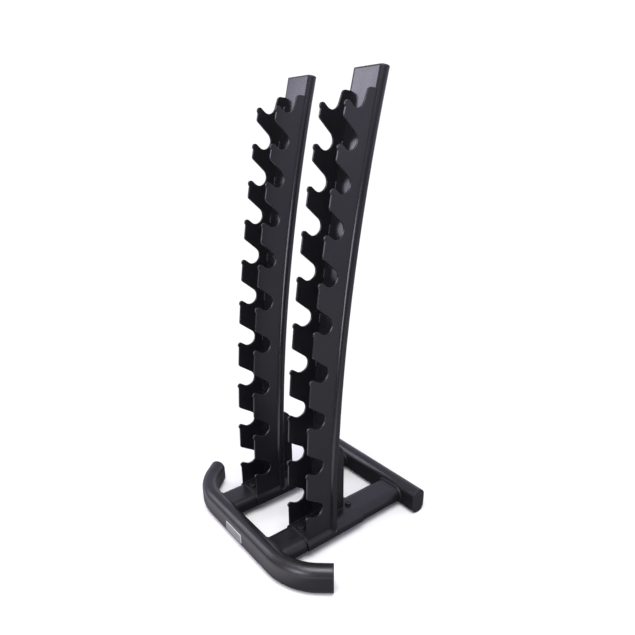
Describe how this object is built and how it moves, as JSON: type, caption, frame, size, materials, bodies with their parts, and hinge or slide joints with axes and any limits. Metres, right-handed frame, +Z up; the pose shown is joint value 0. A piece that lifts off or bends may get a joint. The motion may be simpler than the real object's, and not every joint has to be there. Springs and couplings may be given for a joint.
{
  "type": "dumbbell rack",
  "caption": "Free-standing upright dumbbell rack: two leaning flat-oval columns with notched cradle plates on a low welded tube base with a swept front bar.",
  "frame": {"origin": "on the floor, at the centre of the bounding box's footprint", "axes": "+Z up, -Y towards the user's side (cradles open towards -Y), +X to the right seen from the front"},
  "size_m": [0.671, 0.5652, 1.28],
  "materials": {
    "bar_powder_coat": "satin charcoal powder coat",
    "rail_powder_coat": "satin charcoal powder coat",
    "upright_powder_coat": "satin charcoal powder coat",
    "plate_powder_coat": "satin charcoal powder coat",
    "cap_plastic": "fine-grained black plastic",
    "fastener_steel": "dark zinc-plated steel",
    "name_plate_metal": "blank brushed plate"
  },
  "bodies": {
    "root": {"front_bar": "bar_powder_coat", "front_bar_cap_left": "cap_plastic", "front_bar_cap_right": "cap_plastic", "left_bolts": "fastener_steel", "left_gusset": "rail_powder_coat", "left_inner_cradle_plate": "plate_powder_coat", "left_nuts": "fastener_steel", "left_outer_cradle_plate": "plate_powder_coat", "left_rail": "rail_powder_coat", "left_saddle": "rail_powder_coat", "left_upright": "upright_powder_coat", "left_upright_cap": "cap_plastic", "left_washers": "fastener_steel", "name_plate": "name_plate_metal", "rear_bar": "bar_powder_coat", "rear_bar_cap_left": "cap_plastic", "rear_bar_cap_right": "cap_plastic", "right_bolts": "fastener_steel", "right_gusset": "rail_powder_coat", "right_inner_cradle_plate": "plate_powder_coat", "right_nuts": "fastener_steel", "right_outer_cradle_plate": "plate_powder_coat", "right_rail": "rail_powder_coat", "right_saddle": "rail_powder_coat", "right_upright": "upright_powder_coat", "right_upright_cap": "cap_plastic", "right_washers": "fastener_steel"}
  },
  "joints": []
}
